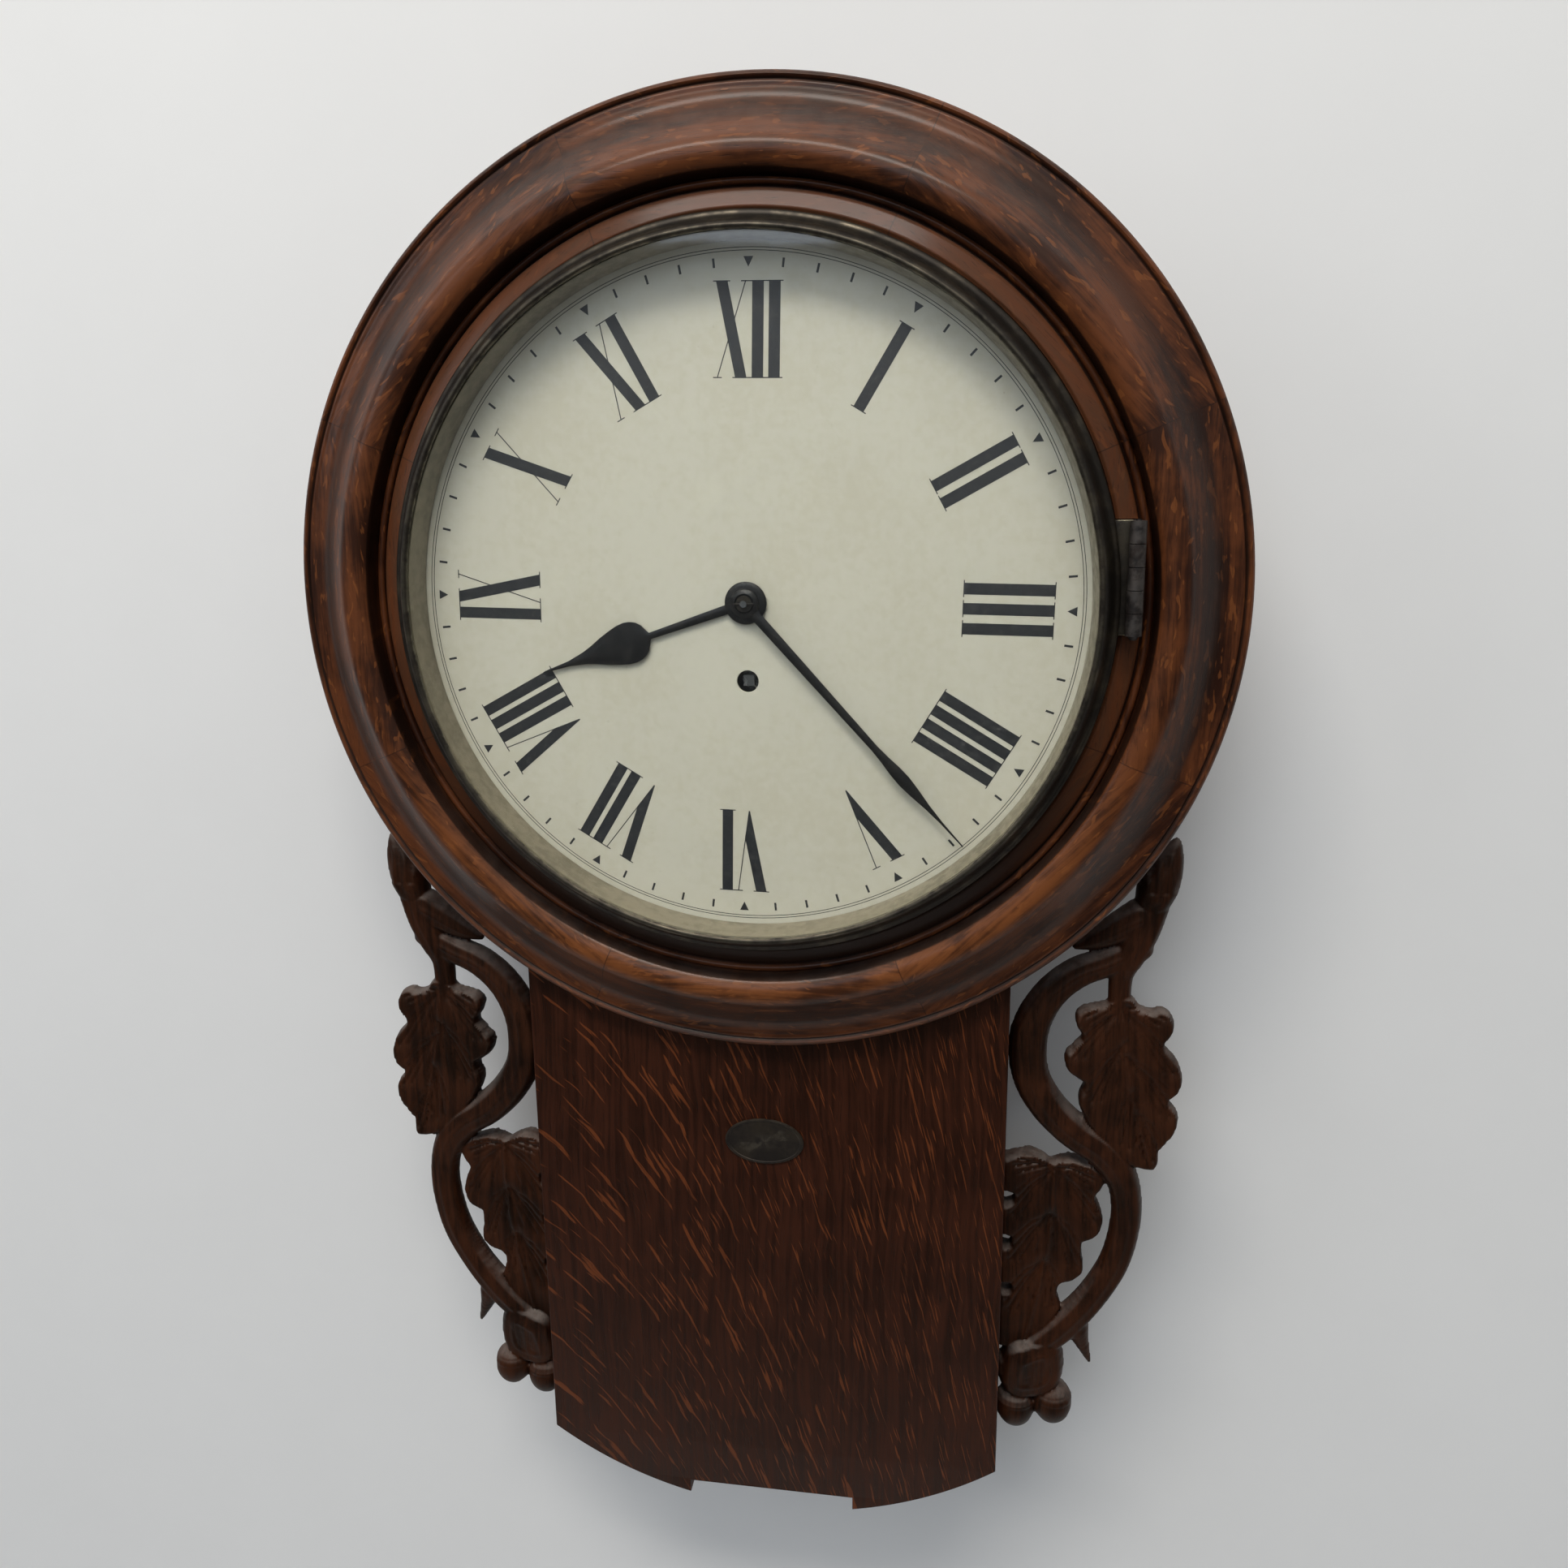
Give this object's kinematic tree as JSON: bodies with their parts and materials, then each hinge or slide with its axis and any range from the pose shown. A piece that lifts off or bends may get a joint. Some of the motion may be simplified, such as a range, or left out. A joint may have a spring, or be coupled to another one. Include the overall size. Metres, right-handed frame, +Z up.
{
  "type": "drop dial wall clock",
  "caption": "Wall clock with a round moulded surround, glazed hinged bezel, boxed trunk, carved leaf ears, spring driven gear train, anchor escapement and pendulum.",
  "frame": {"origin": "on the wall plane at the back of the backboard, straight behind the centre of the dial", "axes": "X to the right as the viewer faces the dial, Y into the wall so the dial faces -Y, Z up"},
  "size_m": [0.4399, 0.1402, 0.7189],
  "materials": {
    "surround_varnish": "polished dark oak varnish",
    "trunk_oak": "dark quarter-sawn oak, satin varnish",
    "carved_oak": "carved oak, nearly black with dust in the carving",
    "case_oak": "oak boards, thin old varnish",
    "bare_wood": "bare softwood",
    "dial_paint": "aged cream paint on sheet iron",
    "dark_brass": "blackened old brass",
    "cream_brass": "cream painted brass",
    "glazing": "clear flat glass",
    "black_steel": "black lacquer on steel",
    "plate_brass": "brushed and lacquered brass",
    "bright_steel": "turned bright steel",
    "blued_steel": "blued spring steel",
    "old_iron": "dark iron"
  },
  "bodies": {
    "case": {"backboard": "case_oak", "side_left": "trunk_oak", "side_right": "trunk_oak", "case_top": "case_oak", "bottom_boards": "trunk_oak", "trunk_front": "trunk_oak", "surround": "surround_varnish", "battens": "bare_wood", "pegs": "bare_wood", "ear_left": "carved_oak", "ear_right": "carved_oak", "hanging_plate": "old_iron", "number_plate": "dark_brass", "dial": "dial_paint", "dial_feet": "plate_brass", "dial_screws": "dark_brass", "hinge_leaf_fixed": "old_iron", "hinge_pin": "old_iron", "front_plate": "plate_brass", "back_plate": "plate_brass", "pillars": "plate_brass", "plate_nuts": "blued_steel", "click_spring": "blued_steel", "back_cock": "plate_brass", "minute_stud": "bright_steel", "bottom_hinge_fixed": "old_iron"},
    "bezel_door": {"bezel": "dark_brass", "glass": "glazing", "sight_ring": "cream_brass", "hinge_leaf_moving": "old_iron"},
    "foot_door": {"bottom_door": "trunk_oak", "bottom_hinge_moving": "old_iron"},
    "centre": {"centre_arbor": "bright_steel", "centre_wheel": "plate_brass", "cannon_pinion": "bright_steel", "minute_hand": "black_steel", "hand_collet": "plate_brass"},
    "hour": {"hour_wheel": "plate_brass", "hour_hand": "black_steel"},
    "motion": {"minute_wheel": "plate_brass"},
    "third": {"third_arbor": "bright_steel", "third_wheel": "plate_brass"},
    "escape": {"escape_arbor": "bright_steel", "escape_wheel": "plate_brass"},
    "intermediate": {"intermediate_arbor": "bright_steel", "intermediate_wheel": "plate_brass"},
    "going_barrel": {"barrel": "plate_brass", "barrel_cover": "plate_brass", "mainspring": "blued_steel"},
    "winding": {"barrel_arbor": "bright_steel", "ratchet_wheel": "bright_steel"},
    "click_lever": {"click": "bright_steel"},
    "anchor": {"pallet_arbor": "bright_steel", "pallets": "bright_steel", "crutch": "bright_steel"},
    "pendulum": {"suspension": "blued_steel", "pendulum_rod": "bare_wood", "bob": "plate_brass"},
    "rating": {"rating_nut": "plate_brass"}
  },
  "joints": [
    {"name": "bezel_swing", "type": "hinge", "parent": "case", "child": "bezel_door", "pos_m": [0.1675, -0.1312, 0.011], "axis": [0, 0, 1], "range_deg": [0, 110]},
    {"name": "foot_door_swing", "type": "hinge", "parent": "case", "child": "foot_door", "pos_m": [0, -0.0144, -0.48934], "axis": [1, 0, 0], "range_deg": [0, 90]},
    {"name": "minute", "type": "hinge", "parent": "case", "child": "centre", "pos_m": [0, -0.1, 0], "axis": [0, 1, 0], "continuous": true},
    {"name": "hour_turn", "type": "hinge", "parent": "case", "child": "hour", "pos_m": [0, -0.11, 0], "axis": [0, 1, 0], "continuous": true},
    {"name": "motion_turn", "type": "hinge", "parent": "case", "child": "motion", "pos_m": [0.01732, -0.11, 0.01], "axis": [0, 1, 0], "continuous": true},
    {"name": "third_turn", "type": "hinge", "parent": "case", "child": "third", "pos_m": [-0.01122, -0.085, 0.02144], "axis": [0, 1, 0], "continuous": true},
    {"name": "escape_turn", "type": "hinge", "parent": "case", "child": "escape", "pos_m": [0, -0.077, 0.038], "axis": [0, 1, 0], "continuous": true},
    {"name": "intermediate_turn", "type": "hinge", "parent": "case", "child": "intermediate", "pos_m": [0.02316, -0.085, -0.00993], "axis": [0, 1, 0], "continuous": true},
    {"name": "barrel_turn", "type": "hinge", "parent": "case", "child": "going_barrel", "pos_m": [0, -0.08, -0.0355], "axis": [0, 1, 0], "continuous": true},
    {"name": "winding_turn", "type": "hinge", "parent": "case", "child": "winding", "pos_m": [0, -0.1, -0.0355], "axis": [0, 1, 0], "continuous": true},
    {"name": "click_lift", "type": "hinge", "parent": "case", "child": "click_lever", "pos_m": [0.022, -0.1076, -0.04], "axis": [0, 1, 0], "range_deg": [0, 8], "stiffness_Nm_per_rad": 0.002, "deforming": ["click_spring"]},
    {"name": "pendulum_swing", "type": "hinge", "parent": "case", "child": "pendulum", "pos_m": [0, -0.04, 0.062], "axis": [0, 1, 0], "range_deg": [-3, 3]},
    {"name": "anchor_swing", "type": "hinge", "parent": "case", "child": "anchor", "pos_m": [0, -0.076, 0.062], "axis": [0, 1, 0], "range_deg": [-3, 3]},
    {"name": "rating_turn", "type": "hinge", "parent": "pendulum", "child": "rating", "pos_m": [0, -0.04, -0.425], "axis": [0, 0, 1], "continuous": true}
  ],
  "couplings": [
    {"joint": "hour_turn", "follows": "minute", "ratio": 0.083333},
    {"joint": "motion_turn", "follows": "minute", "ratio": -0.33333},
    {"joint": "third_turn", "follows": "minute", "ratio": -10},
    {"joint": "escape_turn", "follows": "minute", "ratio": 90},
    {"joint": "intermediate_turn", "follows": "minute", "ratio": -0.16667},
    {"joint": "barrel_turn", "follows": "minute", "ratio": 0.025},
    {"joint": "anchor_swing", "follows": "pendulum_swing", "ratio": 1}
  ]
}
